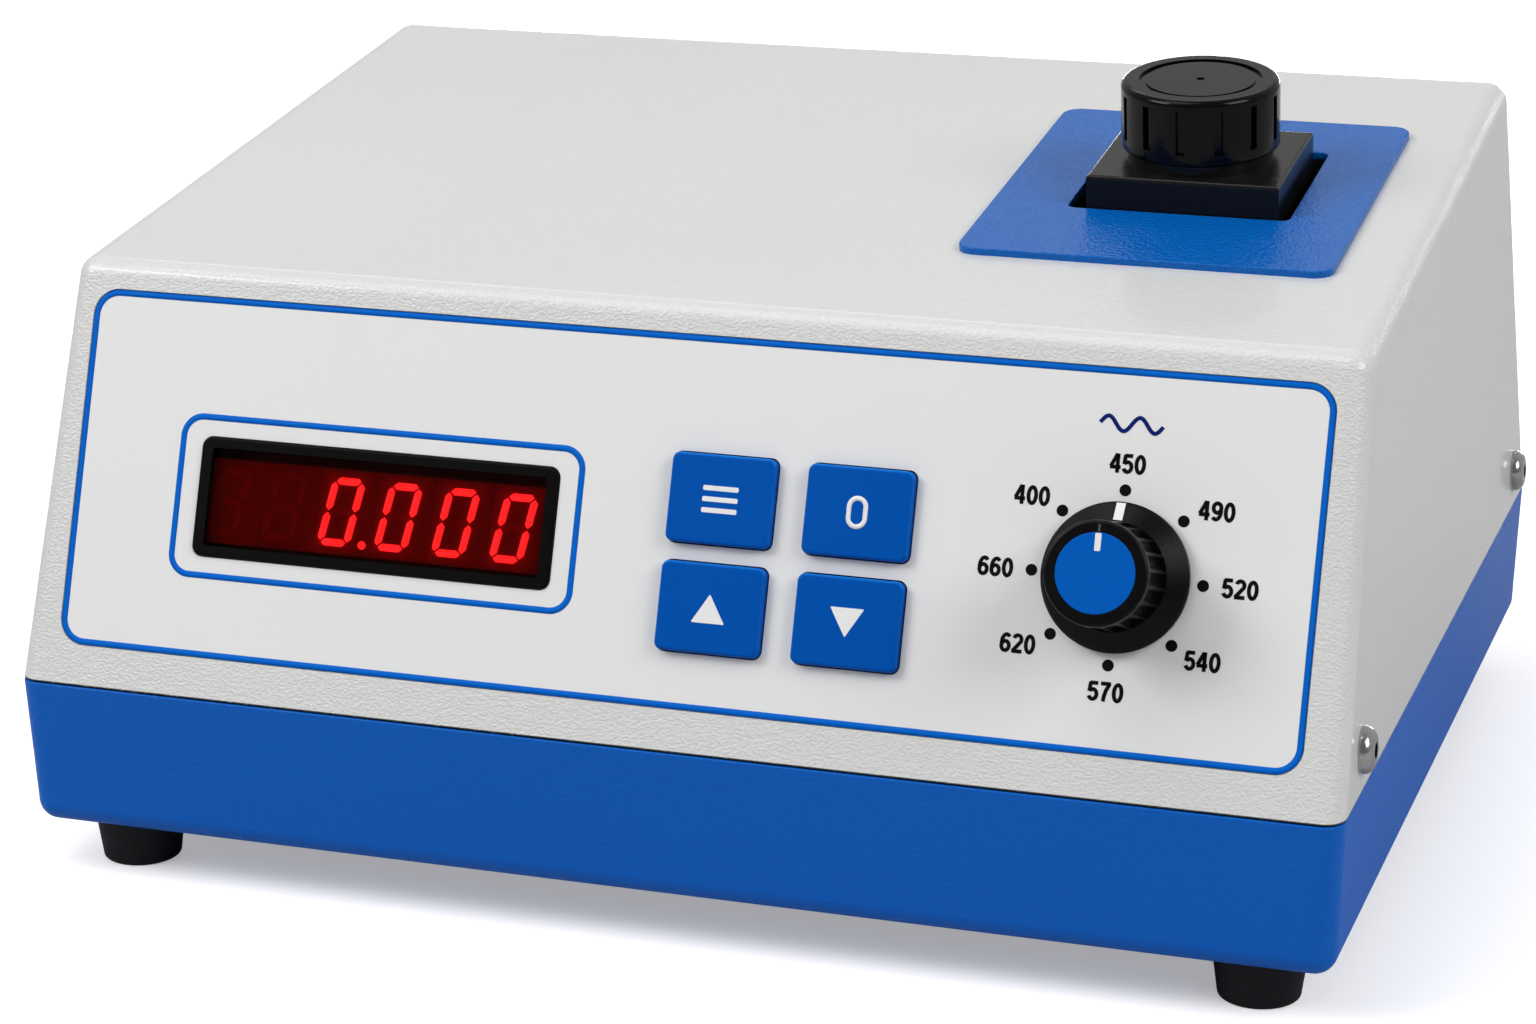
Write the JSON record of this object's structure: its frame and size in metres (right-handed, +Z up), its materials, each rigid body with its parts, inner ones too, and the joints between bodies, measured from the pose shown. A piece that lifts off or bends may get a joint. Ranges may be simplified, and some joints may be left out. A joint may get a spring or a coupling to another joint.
{
  "type": "filter colorimeter",
  "caption": "Bench colorimeter with a sloping front panel, red digit display, push keys, filter selector knob and a capped sample well on top.",
  "frame": {"origin": "on the surface it stands on, under the middle of the whole object", "axes": "+X to the right as seen from the front, +Y to the rear, +Z up; the front panel faces -Y"},
  "size_m": [0.285, 0.2436, 0.1641],
  "materials": {
    "case_grey": "fine orange-peel, semi-gloss",
    "case_blue": "fine orange-peel, semi-gloss",
    "plate_blue": "fine orange-peel, semi-gloss",
    "overlay": "satin printed film",
    "black_frame": "satin",
    "red_window": "clear red, polished",
    "digit_body": "matt",
    "segment_lit": "glowing",
    "segment_dark": "matt",
    "board_green": "satin",
    "black_part": "matt",
    "key_blue": "satin",
    "knob_black": "satin",
    "insert_blue": "satin",
    "steel": "turned",
    "dark_steel": "blackened",
    "brass": "turned",
    "black_metal": "black anodised",
    "bracket_metal": "bent sheet",
    "block_black": "black anodised, satin",
    "lens": "polished",
    "cap_black": "satin",
    "rubber": "matt",
    "lamp_glass": "clear",
    "ribbon": "satin",
    "core_steel": "laminated",
    "coil_tape": "taped",
    "rocker_black": "gloss",
    "screw_steel": "polished stainless",
    "glass_450": "polished",
    "glass_490": "polished",
    "glass_520": "polished",
    "glass_540": "polished",
    "glass_570": "polished",
    "glass_620": "polished",
    "glass_660": "polished",
    "glass_400": "polished"
  },
  "bodies": {
    "case": {"upper_shell": "case_grey", "lower_shell": "case_blue", "top_plate": "plate_blue", "front_overlay": "overlay", "display_bezel": "black_frame", "display_window": "red_window", "led_digits": "digit_body", "lit_segments": "segment_lit", "unlit_segments": "segment_dark", "front_circuit_board": "board_green", "key_switches": "black_part", "panel_bushing": "brass", "bushing_nut": "steel", "wheel_bracket": "bracket_metal", "shaft_bearing": "brass", "detent_spring": "steel", "detector_board": "board_green", "photodiode": "steel", "sample_block": "block_black", "condenser_lens": "lens", "optics_plate": "bracket_metal", "lamp_bracket": "bracket_metal", "lamp_holder": "brass", "lamp_bulb": "lamp_glass", "main_board": "board_green", "main_board_parts": "black_part", "ribbon_cable": "ribbon", "transformer_core": "core_steel", "transformer_coil": "coil_tape", "power_inlet": "black_frame", "inlet_pins": "brass", "switch_housing": "black_frame", "inner_screws": "steel", "side_screws": "screw_steel", "foot_screws": "steel", "foot_front_left": "rubber", "foot_front_right": "rubber", "foot_rear_left": "rubber", "foot_rear_right": "rubber"},
    "selector": {"knob": "knob_black", "knob_insert": "insert_blue", "grub_screws": "dark_steel", "filter_shaft": "steel", "filter_wheel": "black_metal", "filter_450": "glass_450", "filter_490": "glass_490", "filter_520": "glass_520", "filter_540": "glass_540", "filter_570": "glass_570", "filter_620": "glass_620", "filter_660": "glass_660", "filter_400": "glass_400"},
    "key_mode_body": {"key_mode": "key_blue"},
    "key_zero_body": {"key_zero": "key_blue"},
    "key_up_body": {"key_up": "key_blue"},
    "key_down_body": {"key_down": "key_blue"},
    "cap": {"sample_cap": "cap_black", "cap_seal": "rubber"},
    "rocker": {"power_rocker": "rocker_black"}
  },
  "joints": [
    {"name": "filter_turn", "type": "hinge", "parent": "case", "child": "selector", "pos_m": [0.09205, -0.10127, 0.08362], "axis": [0, -0.9392, 0.3433], "continuous": true},
    {"name": "key_mode_press", "type": "slide", "parent": "case", "child": "key_mode_body", "axis": [0, 0.9392, -0.3433], "range_m": [0, 0.0008], "stiffness_N_per_m": 1500},
    {"name": "key_zero_press", "type": "slide", "parent": "case", "child": "key_zero_body", "axis": [0, 0.9392, -0.3433], "range_m": [0, 0.0008], "stiffness_N_per_m": 1500},
    {"name": "key_up_press", "type": "slide", "parent": "case", "child": "key_up_body", "axis": [0, 0.9392, -0.3433], "range_m": [0, 0.0008], "stiffness_N_per_m": 1500},
    {"name": "key_down_press", "type": "slide", "parent": "case", "child": "key_down_body", "axis": [0, 0.9392, -0.3433], "range_m": [0, 0.0008], "stiffness_N_per_m": 1500},
    {"name": "cap_lift", "type": "slide", "parent": "case", "child": "cap", "axis": [0, -0.1224, 0.9925], "range_m": [0, 0.11]},
    {"name": "rocker_tilt", "type": "hinge", "parent": "case", "child": "rocker", "pos_m": [-0.045, 0.11582, 0.02883], "axis": [-1, 0, 0], "range_deg": [0, 16]}
  ]
}
